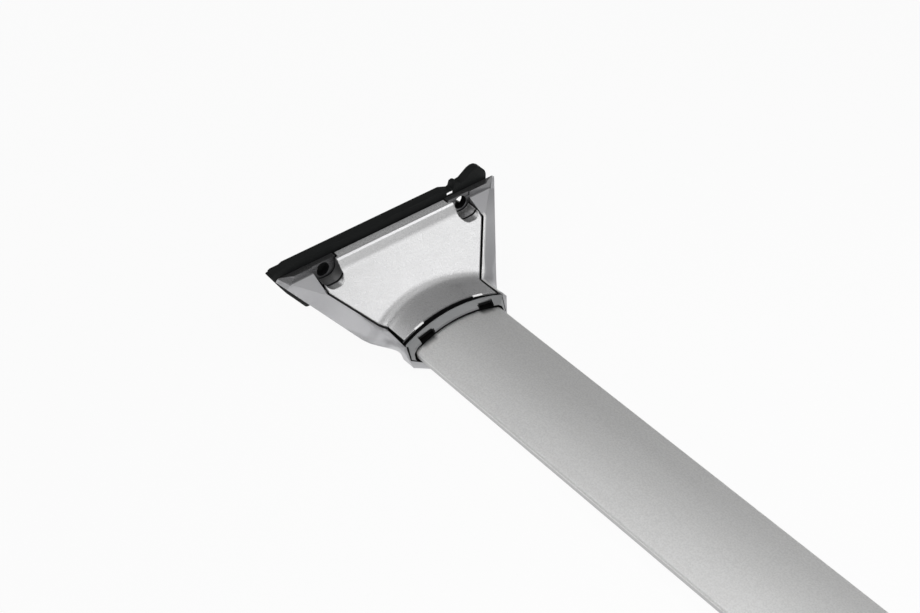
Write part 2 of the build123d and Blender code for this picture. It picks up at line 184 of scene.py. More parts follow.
class Graph:
    """A short way to write shader nodes and links into one node tree."""

    def __init__(self, tree: NodeTree) -> None:
        """Keep the tree that nodes are added to."""
        self.tree = tree

    def add(self, kind: str, **settings: object) -> Node:
        """Add one node.

        Args:
            kind: Blender's type name of the node.
            settings: properties of the node, set as they are given.

        Returns:
            The new node.
        """
        node = self.tree.nodes.new(kind)
        for name, value in settings.items():
            setattr(node, name, value)
        return node

    def group(self, tree: NodeTree) -> Node:
        """Place a shared node group."""
        return self.add("ShaderNodeGroup", node_tree=tree)

    def link(self, source: Socket, target: Socket) -> None:
        """Link an output socket to an input socket."""
        self.tree.links.new(source, target)

    def feed(self, target: Socket, value: object) -> None:
        """Give an input socket its value.

        Args:
            target: the input socket.
            value: an output socket that is linked, an RGB colour, or a plain value.
        """
        if isinstance(value, Socket):
            self.link(value, target)
        elif target.type == "RGBA" and len(value) == 3:
            target.default_value = (*value, 1.0)
        else:
            target.default_value = value

    def set(self, node: Node, **values: object) -> Node:
        """Set input sockets by name, spaces written as underscores.

        Args:
            node: the node whose inputs are set.
            values: what each input is fed.

        Returns:
            The same node.
        """
        for name, value in values.items():
            self.feed(node.inputs[name.replace("_", " ")], value)
        return node

    def math(self, operation: str, first: object, second: object = 0.0) -> Socket:
        """Add a Math node.

        Args:
            operation: the node's operation.
            first: the first value or socket.
            second: the second value or socket.

        Returns:
            The node's output socket.
        """
        node = self.add("ShaderNodeMath", operation=operation)
        self.feed(node.inputs[0], first)
        self.feed(node.inputs[1], second)
        return node.outputs[0]

    def size(self, value: Socket) -> Socket:
        """Take a value without its sign."""
        return self.math("ABSOLUTE", value)

    def minus(self, first: object, second: object) -> Socket:
        """Subtract the second value from the first."""
        return self.math("SUBTRACT", first, second)

    def times(self, *values: object) -> Socket:
        """Multiply two or more values."""
        return reduce(partial(self.math, "MULTIPLY"), values)

    def most(self, *values: object) -> Socket:
        """Take the largest of two or more values."""
        return reduce(partial(self.math, "MAXIMUM"), values)

    def crown(self, half: Socket, top: float, width: float) -> Socket:
        """Work out the height of a crowned top.

        Args:
            half: the distance across from the middle.
            top: the height in the middle.
            width: twice the crown's radius.

        Returns:
            The height's socket.
        """
        return self.minus(top, self.math("DIVIDE", self.times(half, half), width))

    def span(self, value: Socket, reads: Fade, gives: Fade, course: str = "SMOOTHSTEP") -> Socket:
        """Map a value from one span to another, smoothly and clamped.

        Args:
            value: the socket that is mapped.
            reads: the ends of the span that is read.
            gives: what those ends become.
            course: the node's interpolation.

        Returns:
            The mapped value's socket.
        """
        node = self.add("ShaderNodeMapRange", interpolation_type=course)
        self.set(node, Value=value, From_Min=reads[0], From_Max=reads[1], To_Min=gives[0], To_Max=gives[1])
        return node.outputs["Result"]

    def slope(self, value: Socket, reads: Fade, gives: Fade) -> Socket:
        """Map a value from one span to another in a straight line, clamped."""
        return self.span(value, reads, gives, "LINEAR")

    def rise(self, value: Socket, fade: Fade) -> Socket:
        """Go smoothly from 0 to 1 over a fade."""
        return self.span(value, fade, (0.0, 1.0))

    def fall(self, value: Socket, fade: Fade) -> Socket:
        """Go smoothly from 1 to 0 over a fade."""
        return self.span(value, fade, (1.0, 0.0))

    def near(self, value: Socket, centre: object, fade: Fade) -> Socket:
        """Mask the values near a centre, out to a fade."""
        return self.fall(self.size(self.minus(value, centre)), fade)

    def mix(self, factor: Socket, first: object, second: object) -> Socket:
        """Mix two colours.

        Args:
            factor: the share of the second colour.
            first: the first colour or socket.
            second: the second colour or socket.

        Returns:
            The mixed colour's socket.
        """
        node = self.add("ShaderNodeMix", data_type="RGBA")
        for index, value in ((0, factor), (6, first), (7, second)):
            self.feed(node.inputs[index], value)
        return node.outputs[2]

    def turn(self, factor: Socket, first: Socket, second: Socket) -> Socket:
        """Turn one normal towards another.

        Args:
            factor: the share of the second normal.
            first: the first normal.
            second: the second normal.

        Returns:
            The mixed normal's socket.
        """
        node = self.add("ShaderNodeMix", data_type="VECTOR")
        for index, socket in ((0, factor), (4, first), (5, second)):
            self.link(socket, node.inputs[index])
        return node.outputs[1]

    def lean(self, inboard: float, up: float) -> Socket:
        """Make a normal that leans inboard along the bar.

        Args:
            inboard: the normal's part towards the bar's middle.
            up: its part upwards.

        Returns:
            The normal's socket.
        """
        side = self.math("SIGN", self.place()[0])
        return self.set(self.add("ShaderNodeCombineXYZ"), X=self.times(side, -inboard), Z=up).outputs[0]

    def place(self) -> tuple[Socket, Socket, Socket]:
        """Split the Object coordinates.

        Returns:
            The sockets of X, Y and Z.
        """
        parts = self.add("ShaderNodeSeparateXYZ")
        self.link(self.add("ShaderNodeTexCoord").outputs["Object"], parts.inputs[0])
        return parts.outputs["X"], parts.outputs["Y"], parts.outputs["Z"]


class Effects:
    """Shader node groups that the finishes share."""

    contrast: Fade = (0.3, 0.7)
    edge_turn: Fade = (0.72, 0.99)
    open_sky: Fade = (0.12, 0.48)
    probes: int = 8
    peel_scale: float = 420.0
    band_scale: float = 110.0
    stretch: Point = (0.006, 1.0, 1.0)

    def __init__(self) -> None:
        """Build each group once."""
        self.plan = FootPlan()
        self.rounding = self.build_rounding()
        self.flake = self.build_flake()
        self.streaks = self.build_streaks()
        self.crevice = self.build_crevice()
        self.seam = self.build_seam()
        self.bore = self.build_bore()
        self.lid = self.build_lid()
        self.notch = self.build_notch()

    @staticmethod
    def start(
        name: str, inputs: dict[str, float], outputs: tuple[str, ...]
    ) -> tuple[NodeTree, Graph, Node, Node]:
        """Start a group with named sockets.

        Args:
            name: the group's name.
            inputs: each input's default.
            outputs: the outputs' names, of which Normal is a vector.

        Returns:
            The group, its graph, its input node and its output node.
        """
        tree = bpy.data.node_groups.new(name, "ShaderNodeTree")
        for label, value in inputs.items():
            socket = tree.interface.new_socket(label, in_out="INPUT", socket_type="NodeSocketFloat")
            socket.default_value = value
        for label in outputs:
            kind = "NodeSocketVector" if label == "Normal" else "NodeSocketFloat"
            tree.interface.new_socket(label, in_out="OUTPUT", socket_type=kind)
        graph = Graph(tree)
        return tree, graph, graph.add("NodeGroupInput"), graph.add("NodeGroupOutput")

    def build_rounding(self) -> NodeTree:
        """Build the rounded edge: a softened normal and a mask of the sharp edges.

        Returns:
            The group.
        """
        tree, graph, start, end = self.start("rounded_edge", {"Radius": 1 * MM}, ("Normal", "Edge"))
        bevel = graph.set(graph.add("ShaderNodeBevel", samples=self.probes), Radius=start.outputs["Radius"])
        softened = bevel.outputs["Normal"]
        turn = graph.add("ShaderNodeVectorMath", operation="DOT_PRODUCT")
        graph.link(softened, turn.inputs[0])
        graph.link(graph.add("ShaderNodeNewGeometry").outputs["Normal"], turn.inputs[1])
        edge = graph.fall(turn.outputs["Value"], self.edge_turn)
        graph.set(end, Normal=softened, Edge=edge)
        return tree

    def build_flake(self) -> NodeTree:
        """Build the metal flake of silver paint: a fine speckle, a slow mottling and a peel.

        Returns:
            The group.
        """
        tree, graph, start, end = self.start(
            "silver_flake", {"Speckle Scale": 2500.0, "Mottle Scale": 60.0}, ("Speckle", "Mottle", "Peel")
        )
        place = graph.add("ShaderNodeTexCoord").outputs["Object"]
        speckle, mottle, peel = (graph.set(graph.add("ShaderNodeTexNoise"), Vector=place) for _ in range(3))
        graph.set(speckle, Scale=start.outputs["Speckle Scale"], Detail=2.0, Roughness=0.6)
        graph.set(mottle, Scale=start.outputs["Mottle Scale"], Detail=3.0, Roughness=0.55)
        graph.set(peel, Scale=self.peel_scale, Detail=1.0)
        graph.set(
            end, Speckle=graph.rise(speckle.outputs[0], self.contrast),
            Mottle=graph.rise(mottle.outputs[0], self.contrast), Peel=peel.outputs[0],
        )
        return tree

    def build_streaks(self) -> NodeTree:
        """Build the fine die lines that an extrusion carries along its length.

        Returns:
            The group.
        """
        tree, graph, start, end = self.start("die_lines", {"Fineness": 900.0}, ("Lines", "Bands"))
        place = graph.add("ShaderNodeTexCoord").outputs["Object"]
        stretched = graph.set(graph.add("ShaderNodeMapping"), Vector=place, Scale=self.stretch).outputs[0]
        lines, bands = (graph.set(graph.add("ShaderNodeTexNoise"), Vector=stretched) for _ in range(2))
        graph.set(lines, Scale=start.outputs["Fineness"], Detail=3.0, Roughness=0.7)
        graph.set(bands, Scale=self.band_scale, Detail=2.0)
        graph.set(
            end, Lines=graph.rise(lines.outputs[0], self.contrast),
            Bands=graph.rise(bands.outputs[0], self.contrast),
        )
        return tree

    def build_crevice(self) -> NodeTree:
        """Build the mask of narrow gaps, painted dark as shade where no light enters.

        Returns:
            The group.
        """
        tree, graph, start, end = self.start("crevice", {"Reach": 4 * MM}, ("Mask",))
        shelter = graph.add("ShaderNodeAmbientOcclusion", samples=self.probes)
        graph.set(shelter, Distance=start.outputs["Reach"])
        graph.set(end, Mask=graph.fall(shelter.outputs["AO"], self.open_sky))
        return tree

    def build_seam(self) -> NodeTree:
        """Build the masks of the painted shade along the seam between cover and casting, and of a painted
        highlight on its lip on the +Y side.

        Returns:
            The group.
        """
        tree, graph, start, end = self.start("seam_painted_shade", {"Width": 2 * MM}, ("Mask", "Lip"))
        plan = self.plan
        x, y, z = graph.place()
        reach = graph.minus(graph.size(x), plan.mouth)
        offset = graph.minus(graph.size(y), graph.slope(reach, plan.seam_reach, plan.seam_half))
        height = graph.minus(z, graph.slope(reach, plan.seam_reach, plan.seam_height))
        inside = graph.times(
            graph.rise(reach, plan.seam_start), graph.fall(reach, plan.seam_end),
            graph.rise(height, plan.seam_depth),
        )
        share = graph.math("DIVIDE", graph.size(offset), start.outputs["Width"])
        # A painted highlight on the seam's lip, on the +Y side only.
        lip_highlight = graph.near(offset, plan.lip_offset, plan.lip_fade)
        graph.set(
            end, Mask=graph.times(graph.fall(share, plan.seam_share), inside),
            Lip=graph.times(lip_highlight, inside, graph.rise(y, plan.rear_side)),
        )
        return tree

    def build_bore(self) -> NodeTree:
        """Build the masks of the bolt bores and of the mouth's gap, painted black inside as shade.

        Returns:
            The group.
        """
        tree, graph, start, end = self.start("bolt_bore", {"Radius": 4.6 * MM}, ("Mask", "Mouth"))
        plan = self.plan
        x, y, z = graph.place()
        distance, half = graph.size(x), graph.size(y)
        across, up = graph.minus(half, plan.bolt_half), graph.minus(z, plan.bolt_height)
        square = graph.math("ADD", graph.times(across, across), graph.times(up, up))
        share = graph.math("DIVIDE", graph.math("SQRT", square), start.outputs["Radius"])
        graph.set(
            end, Mask=graph.times(graph.fall(share, plan.bore_edge), graph.rise(distance, plan.bore_face)),
            Mouth=graph.times(
                graph.fall(distance, plan.gap_face), graph.fall(half, plan.gap_half),
                graph.rise(z, plan.gap_height),
            ),
        )
        return tree

    def build_lid(self) -> NodeTree:
        """Build the cover's masks: painted shade in the pockets, deeper on the -Y side, with a painted dark
        line on their wall; painted shade on the end over the mouth; the ridge and the front tabs, which
        carry a painted highlight; and the strip behind the ridge.

        Returns:
            The group.
        """
        tree, graph, start, end = self.start(
            "lid_shading", {"Tab": 23.7 * MM}, ("Pocket", "End", "Ridge", "Glint", "Strip")
        )
        plan = self.plan
        x, y, z = graph.place()
        reach, half = graph.minus(graph.size(x), plan.mouth), graph.size(y)
        # Painted shade in the pockets on the -Y side, and a painted dark line on the pocket walls on both
        # sides.
        beside = graph.times(graph.rise(half, plan.pocket_inner), graph.fall(half, plan.pocket_outer))
        shade = graph.span(y, plan.rear_side, plan.pocket_shade)
        shade = graph.times(graph.rise(reach, plan.pocket_reach), shade)
        line = graph.near(reach, plan.pocket_line, plan.pocket_line_fade)
        tab = graph.near(half, start.outputs["Tab"], plan.tab_fade)
        lean = graph.times(graph.minus(z, plan.lid_foot), plan.lid_lean)
        front = graph.fall(graph.minus(reach, lean), plan.lid_front)
        under = graph.minus(graph.crown(half, plan.neck_crown, plan.neck_width), z)
        # Painted shade on the cover's end over the mouth.
        limit = graph.span(half, plan.black_half, (0.0, plan.black_depth))
        limit = graph.minus(limit, graph.times(tab, plan.tab_depth))
        black = graph.rise(graph.minus(under, limit), plan.black_edge)
        crest = graph.near(reach, plan.ridge_reach, plan.ridge_fade)
        high = graph.rise(z, plan.ridge_height)
        behind = graph.times(graph.rise(reach, plan.strip_reach), graph.fall(half, plan.strip_half))
        graph.set(
            end, Pocket=graph.times(beside, graph.most(shade, line)), End=graph.times(black, front),
            Ridge=graph.times(crest, high), Glint=graph.times(tab, front), Strip=graph.times(behind, high),
        )
        return tree

    def build_notch(self) -> NodeTree:
        """Build the mask of the collar's notches, its rim around the bar and its outer line, all in shadow.

        Returns:
            The group.
        """
        tree, graph, start, end = self.start("collar_shadow", {"Rim": 1.9 * MM}, ("Mask",))
        plan = self.plan
        _, y, z = graph.place()
        half = graph.size(y)
        rise = graph.minus(z, graph.crown(half, plan.bar_crown, plan.bar_width))
        notch = graph.times(
            graph.rise(half, plan.notch_inner), graph.fall(half, plan.notch_outer),
            graph.fall(rise, plan.notch_rise),
        )
        rim = graph.math("LESS_THAN", rise, start.outputs["Rim"])
        rim = graph.times(rim, graph.fall(half, plan.rim_half))
        up = graph.times(graph.minus(z, plan.knee_height), plan.knee_up)
        under = graph.minus(up, graph.times(graph.minus(half, plan.knee_half), plan.knee_across))
        inset = graph.math("MINIMUM", graph.minus(plan.collar_half, half), under)
        line = graph.times(graph.fall(inset, plan.line_inset), graph.fall(z, plan.line_height))
        graph.set(end, Mask=graph.most(notch, rim, line))
        return tree


@dataclass
class Surface:
    """A surface while its layers are laid: its graph, the shared groups and its sockets so far."""

    graph: Graph
    effects: Effects
    colour: Socket
    roughness: Socket
    normal: Socket
    # The mask of painted shade: near black in gaps, bores, the seam, the pockets, over the mouth and on the
    # collar.
    painted_shade_mask: Socket


@dataclass(frozen=True)
class SilverFinish:
    """Silver paint or cast silver: a flake finish over rounded edges."""

    name: str
    colour: Colour
    shade: Colour
    # Lighter colour on sharp edges: partly edge wear, partly a painted highlight.
    edge: Colour
    metallic: float
    roughness: float
    rounding: float = 0.8 * MM
    layers: tuple[Layer, ...] = ()
    worn_and_lit_edge_share: float = 0.35
    shelter: float = 4 * MM
    soft: float = 0.0
    mottle_share: float = 0.5
    speckle_share: float = 0.25
    roughness_change: Fade = (-0.04, 0.05)
    peel_height: float = 0.02 * MM
    peel_strength: float = 0.4
    # The near-black colour of the painted shade, and its roughness.
    painted_shade: Colour = (0.012, 0.012, 0.013)
    painted_shade_roughness: float = 0.8
    # The darker colour of the end flange, and its roughness.
    darker: Colour = (0.23, 0.23, 0.235)
    darker_roughness: float = 0.3
    # Painted highlights: a lighter colour on the cover's ridge and on its front tabs.
    ridge_highlight: Colour = (0.80, 0.80, 0.81)
    glint: Colour = (0.72, 0.72, 0.72)
    # A painted highlight on the seam's lip.
    lip_highlight: Colour = (0.95, 0.95, 0.95)
    ear_lean: tuple[float, float] = (0.451, 0.893)
    tab_lean: tuple[float, float] = (0.662, 0.749)
    strip_lean: tuple[float, float] = (0.31, 0.951)

    def build(self, effects: Effects) -> Material:
        """Build the material.

        Args:
            effects: the shared node groups.

        Returns:
            The new material.
        """
        material, graph, shader = new_material(self.name)
        flake = graph.group(effects.flake)
        radius = self.soft_radius(graph, effects.plan) if self.soft else self.rounding
        rounded = graph.set(graph.group(effects.rounding), Radius=radius)
        crevice = graph.set(graph.group(effects.crevice), Reach=self.shelter)
        mottled = graph.mix(graph.times(flake.outputs["Mottle"], self.mottle_share), self.colour, self.shade)
        flecked = graph.mix(graph.times(flake.outputs["Speckle"], self.speckle_share), mottled, self.shade)
        # Sharp edges lighten: partly edge wear, partly a painted highlight.
        worn_and_lit_edges = graph.mix(graph.times(rounded.outputs["Edge"], self.worn_and_lit_edge_share), flecked, self.edge)
        rough = speckled_roughness(graph, flake.outputs["Speckle"], self.roughness, self.roughness_change)
        surface = Surface(graph, effects, worn_and_lit_edges, rough, rounded.outputs["Normal"], crevice.outputs["Mask"])
        steps = {
            Layer.FLANGE: self.lay_flange, Layer.SEAM: self.lay_seam, Layer.LID: self.lay_lid,
            Layer.COLLAR: self.lay_collar,
        }
        for layer, lay in steps.items():
            if layer in self.layers:
                lay(surface)
        bump = graph.add("ShaderNodeBump")
        graph.set(
            bump, Strength=self.peel_strength, Distance=self.peel_height, Height=flake.outputs["Peel"],
            Normal=surface.normal,
        )
        # The painted shade darkens the colour to near black and makes it rougher.
        graph.set(
            shader, Base_Color=graph.mix(surface.painted_shade_mask, surface.colour, self.painted_shade),
            Roughness=graph.most(surface.roughness, graph.times(surface.painted_shade_mask, self.painted_shade_roughness)),
            Normal=bump.outputs[0], Metallic=self.metallic,
        )
        return material

    def soft_radius(self, graph: Graph, plan: FootPlan) -> Socket:
        """Widen the rounding on the flanks beside the mouth, where the casting sweeps into the rim.

        Args:
            graph: the material's graph.
            plan: the places on the foot.

        Returns:
            The rounding's socket.
        """
        x, y, _ = graph.place()
        reach = graph.minus(graph.size(x), plan.mouth)
        sweep = graph.times(graph.fall(reach, plan.sweep_reach), graph.rise(graph.size(y), plan.sweep_half))
        return graph.math("ADD", graph.times(sweep, self.soft), self.rounding)

    def lay_flange(self, surface: Surface) -> None:
        """Colour the end flange above its ears and pockets darker, and paint the bolt bores and the mouth's
        gap black as shade.

        Args:
            surface: the surface, whose sockets are replaced.
        """
        graph, effects = surface.graph, surface.effects
        darker, tips = self.flange_masks(graph, effects.plan)
        flat = graph.add("ShaderNodeNewGeometry").outputs["Normal"]
        change = graph.times(darker, self.darker_roughness - self.roughness)
        bore = graph.group(effects.bore)
        # The end flange is coloured darker and keeps its flat normal; the ear tips lean like the ear tops.
        surface.colour = graph.mix(darker, surface.colour, self.darker)
        surface.normal = graph.turn(darker, surface.normal, flat)
        surface.normal = graph.turn(tips, surface.normal, graph.lean(*self.ear_lean))
        surface.roughness = graph.math("ADD", surface.roughness, change)
        # The bores and the mouth's gap are painted black as shade.
        surface.painted_shade_mask = graph.most(surface.painted_shade_mask, bore.outputs["Mask"], bore.outputs["Mouth"])

    @staticmethod
    def flange_masks(graph: Graph, plan: FootPlan) -> tuple[Socket, Socket]:
        """Mask the end flange, which is coloured darker, and the tips of its ears, which keep the silver
        colour.

        Args:
            graph: the material's graph.
            plan: the places on the foot.

        Returns:
            The sockets of the darker flange's mask and of the tips' mask.
        """
        x, y, z = graph.place()
        distance, half = graph.size(x), graph.size(y)
        beyond = graph.rise(distance, plan.flange_face)
        floor = graph.span(half, plan.sill_half, plan.sill_height)
        sill = graph.math("ADD", floor, graph.slope(half, plan.tip_half, plan.tip_rise))
        above = graph.rise(graph.minus(z, sill), plan.sill_edge)
        tips = graph.times(
            beyond, graph.rise(half, plan.ear_half), graph.fall(distance, plan.ear_face),
            graph.minus(1.0, above), graph.rise(z, plan.ear_height),
        )
        return graph.times(beyond, graph.fall(half, plan.flange_half), above), tips

    def lay_seam(self, surface: Surface) -> None:
        """Lay painted shade along the seam, and a painted highlight on its lip.

        Args:
            surface: the surface, whose sockets are replaced.
        """
        graph, effects = surface.graph, surface.effects
        seam = graph.group(effects.seam)
        surface.colour = graph.mix(seam.outputs["Lip"], surface.colour, self.lip_highlight)
        surface.painted_shade_mask = graph.most(surface.painted_shade_mask, seam.outputs["Mask"])

    def lay_lid(self, surface: Surface) -> None:
        """Paint a highlight on the cover's ridge and tabs, lean their normals and the strip's so they catch
        more light, and paint shade into its pockets and onto its end over the mouth.

        Args:
            surface: the surface, whose sockets are replaced.
        """
        graph, effects = surface.graph, surface.effects
        lid = graph.group(effects.lid)
        ridge_highlight, glint = lid.outputs["Ridge"], lid.outputs["Glint"]
        # Painted highlights on the ridge and the front tabs.
        surface.colour = graph.mix(ridge_highlight, surface.colour, self.ridge_highlight)
        surface.colour = graph.mix(glint, surface.colour, self.glint)
        surface.normal = graph.turn(graph.most(glint, ridge_highlight), surface.normal, graph.lean(*self.tab_lean))
        surface.normal = graph.turn(lid.outputs["Strip"], surface.normal, graph.lean(*self.strip_lean))
        surface.painted_shade_mask = graph.most(surface.painted_shade_mask, lid.outputs["Pocket"], lid.outputs["End"])

    def lay_collar(self, surface: Surface) -> None:
        """Paint shade into the collar's notches, onto its rim, and onto its land, which faces out into the
        gap.

        Args:
            surface: the surface, whose sockets are replaced.
        """
        graph, effects = surface.graph, surface.effects
        facing = graph.add("ShaderNodeSeparateXYZ")
        graph.link(graph.add("ShaderNodeNewGeometry").outputs["True Normal"], facing.inputs[0])
        # Painted shade on the land, which faces into the gap.
        land = graph.fall(graph.size(facing.outputs["X"]), effects.plan.land_turn)
        surface.painted_shade_mask = graph.most(surface.painted_shade_mask, land, graph.group(effects.notch).outputs["Mask"])


@dataclass(frozen=True)
class AnodisedFinish:
    """Satin anodised aluminium with the die lines of an extrusion."""

    name: str
    colour: Colour
    shade: Colour
    roughness: float
    rounding: float = 0.6 * MM
    shelter: float = 5 * MM
    grain_scale: float = 900.0
    grain_share: float = 0.9
    band_share: float = 0.05
    shadow_share: float = 0.9
    roughness_change: Fade = (-0.03, 0.03)
    line_strength: float = 0.05
    line_depth: float = 0.01 * MM
    # Painted shade: the bar's blunt sides darker, and their lower part darker still.
    side: Colour = (0.58, 0.58, 0.58)
    low: Colour = (0.30, 0.30, 0.30)
    # The near-black colour of the painted shade.
    painted_shade: Colour = (0.012, 0.012, 0.013)

    def build(self, effects: Effects) -> Material:
        """Build the material.

        Args:
            effects: the shared node groups.

        Returns:
            The new material.
        """
        material, graph, shader = new_material(self.name)
        streaks = graph.group(effects.streaks)
        flake = graph.set(graph.group(effects.flake), Speckle_Scale=self.grain_scale)
        rounded = graph.set(graph.group(effects.rounding), Radius=self.rounding)
        crevice = graph.set(graph.group(effects.crevice), Reach=self.shelter)
        banded = graph.mix(graph.times(streaks.outputs["Bands"], self.band_share), self.colour, self.shade)
        grain = graph.mix(graph.times(flake.outputs["Speckle"], self.grain_share), banded, self.shade)
        side, low, shadow = self.masks(graph, effects.plan)
        # The bar's blunt sides take painted shade.
        sides_shaded = graph.mix(low, graph.mix(side, grain, self.side), self.low)
        # Painted shade in the gaps, and the painted shadow under the collar's notches.
        with_painted_shade = graph.mix(graph.most(crevice.outputs["Mask"], shadow), sides_shaded, self.painted_shade)
        lines = streaks.outputs["Lines"]
        bump = graph.add("ShaderNodeBump")
        graph.set(
            bump, Strength=self.line_strength, Distance=self.line_depth, Height=lines,
            Normal=rounded.outputs["Normal"],
        )
        rough = speckled_roughness(graph, lines, self.roughness, self.roughness_change)
        graph.set(shader, Base_Color=with_painted_shade, Roughness=rough, Normal=bump.outputs[0], Metallic=1.0)
        return material

    def masks(self, graph: Graph, plan: FootPlan) -> tuple[Socket, Socket, Socket]:
        """Mask the bar's blunt sides and their lower part, which are painted darker as shade, and the
        painted shadow under the collar's notches.

        Args:
            graph: the material's graph.
            plan: the places on the bar.

        Returns:
            The sockets of the three masks.
        """
        x, y, z = graph.place()
        half = graph.size(y)
        outside = graph.rise(half, plan.side_half)
        side = graph.times(outside, graph.fall(z, plan.side_height))
        low = graph.times(outside, graph.fall(z, plan.low_height))
        inside = graph.span(graph.size(x), plan.shadow_face, (0.0, self.shadow_share))
        beside = graph.near(half, plan.shadow_middle, plan.shadow_fade)
        return side, low, graph.times(inside, beside, graph.rise(z, plan.shadow_height))


@dataclass(frozen=True)
class RubberFinish:
    """Moulded black rubber with a fine grain and a trace of dust."""

    name: str
    colour: Colour
    dust: Colour
    roughness: float
    specular: float = 0.2
    grain_scale: float = 1400.0
    dust_scale: float = 45.0
    dust_share: float = 0.35
    roughness_change: Fade = (-0.06, 0.08)
    grain_strength: float = 0.5
    grain_depth: float = 0.06 * MM

    def build(self, effects: Effects) -> Material:
        """Build the material.

        Args:
            effects: the shared node groups.

        Returns:
            The new material.
        """
        material, graph, shader = new_material(self.name)
        flake = graph.set(
            graph.group(effects.flake), Speckle_Scale=self.grain_scale, Mottle_Scale=self.dust_scale
        )
        mottle = flake.outputs["Mottle"]
        bump = graph.add("ShaderNodeBump")
        grain = flake.outputs["Speckle"]
        graph.set(bump, Strength=self.grain_strength, Distance=self.grain_depth, Height=grain)
        graph.set(
            shader, Base_Color=graph.mix(graph.times(mottle, self.dust_share), self.colour, self.dust),
            Roughness=speckled_roughness(graph, mottle, self.roughness, self.roughness_change),
            Normal=bump.outputs[0], Metallic=0.0, Specular_IOR_Level=self.specular,
        )
        return material


def new_material(name: str) -> tuple[Material, Graph, Node]:
    """Start a material with an empty Principled shader.

    Args:
        name: the material's name.

    Returns:
        The material, a graph on its nodes, and its Principled shader.
    """
    material = bpy.data.materials.new(name)
    material.use_nodes = True
    return material, Graph(material.node_tree), material.node_tree.nodes["Principled BSDF"]


def speckled_roughness(graph: Graph, pattern: Socket, middle: float, change: Fade) -> Socket:
    """Vary the roughness with a pattern.

    Args:
        graph: the material's graph.
        pattern: the pattern, from 0 to 1.
        middle: the finish's roughness.
        change: what is added at 0 and at 1.

    Returns:
        The roughness' socket.
    """
    return graph.span(pattern, (0.0, 1.0), (middle + change[0], middle + change[1]))


def draw_slab(name: str, outline: Outline, start: float, thickness: float) -> Piece:
    """Draw an outline across the bar point by point, fill it and extrude it along the bar.

    Args:
        name: the new object's name.
        outline: points across and up, in millimetres, in order.
        start: where the outline lies along the bar, in millimetres.
        thickness: how far it is extruded along the bar, in millimetres.

    Returns:
        The slab.
    """
    bpy.ops.object.select_all(action="DESELECT")
    bpy.ops.mesh.primitive_plane_add(size=MM)
    slab = bpy.context.active_object
    slab.name = slab.data.name = name
    bpy.ops.object.mode_set(mode="EDIT")
    bpy.ops.mesh.select_all(action="SELECT")
    bpy.ops.mesh.merge(type="CENTER")
    bpy.ops.transform.translate(value=Vector((start, *outline[0])) * MM)
    for (across, up), (next_across, next_up) in zip(outline, outline[1:]):
        step = (0.0, (next_across - across) * MM, (next_up - up) * MM)
        bpy.ops.mesh.extrude_region_move(TRANSFORM_OT_translate={"value": step})
    bpy.ops.mesh.select_all(action="SELECT")
    bpy.ops.mesh.edge_face_add()
    bpy.ops.mesh.extrude_region_move(TRANSFORM_OT_translate={"value": (thickness * MM, 0.0, 0.0)})
    bpy.ops.mesh.select_all(action="SELECT")
    bpy.ops.mesh.normals_make_consistent(inside=False)
    bpy.ops.object.mode_set(mode="OBJECT")
    return slab


def cut_away(piece: Piece, cutter: Piece) -> None:
    """Subtract a cutter from a piece and drop the cutter.

    Args:
        piece: the piece that is cut.
        cutter: the solid that is taken away.
    """
    bpy.ops.object.select_all(action="DESELECT")
    bpy.context.view_layer.objects.active = piece
    cut = piece.modifiers.new("cut", "BOOLEAN")
    cut.operation, cut.solver, cut.object = "DIFFERENCE", "EXACT", cutter
    bpy.ops.object.modifier_apply(modifier=cut.name)
    bpy.data.objects.remove(cutter, do_unlink=True)


def round_edges(piece: Piece, radius: float, segments: int, angle: float) -> None:
    """Round the sharp edges of a piece and shade it smooth.

    Args:
        piece: the piece.
        radius: the rounding, in millimetres.
        segments: the steps of the rounding.
        angle: edges that turn more than this many degrees are rounded.
    """
    bpy.ops.object.select_all(action="DESELECT")
    bpy.context.view_layer.objects.active = piece
    piece.select_set(True)
    rim = piece.modifiers.new("rim", "BEVEL")
    rim.width, rim.segments = radius * MM, segments
    rim.limit_method, rim.angle_limit = "ANGLE", math.radians(angle)
    bpy.ops.object.modifier_apply(modifier=rim.name)
    bpy.ops.object.shade_smooth_by_angle(angle=math.radians(angle))


def finish_piece(piece: Piece, material: Material, node: str) -> None:
    """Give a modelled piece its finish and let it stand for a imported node.

    Args:
        piece: the piece.
        material: its finish.
        node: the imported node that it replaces.
    """
    piece.data.materials.clear()
    piece.data.materials.append(material)
    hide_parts(node)
    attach(piece, "root")
    LOG.info("modelled %s: %d faces, in place of %s", piece.name, len(piece.data.polygons), node)


def dress(node: str, material: Material) -> None:
    """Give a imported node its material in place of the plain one.

    Args:
        node: the node's name.
        material: the finish.
    """
    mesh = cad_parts[node].data
    mesh.materials.clear()
    mesh.materials.append(material)
    LOG.info("dressed %s in %s", node, material.name)


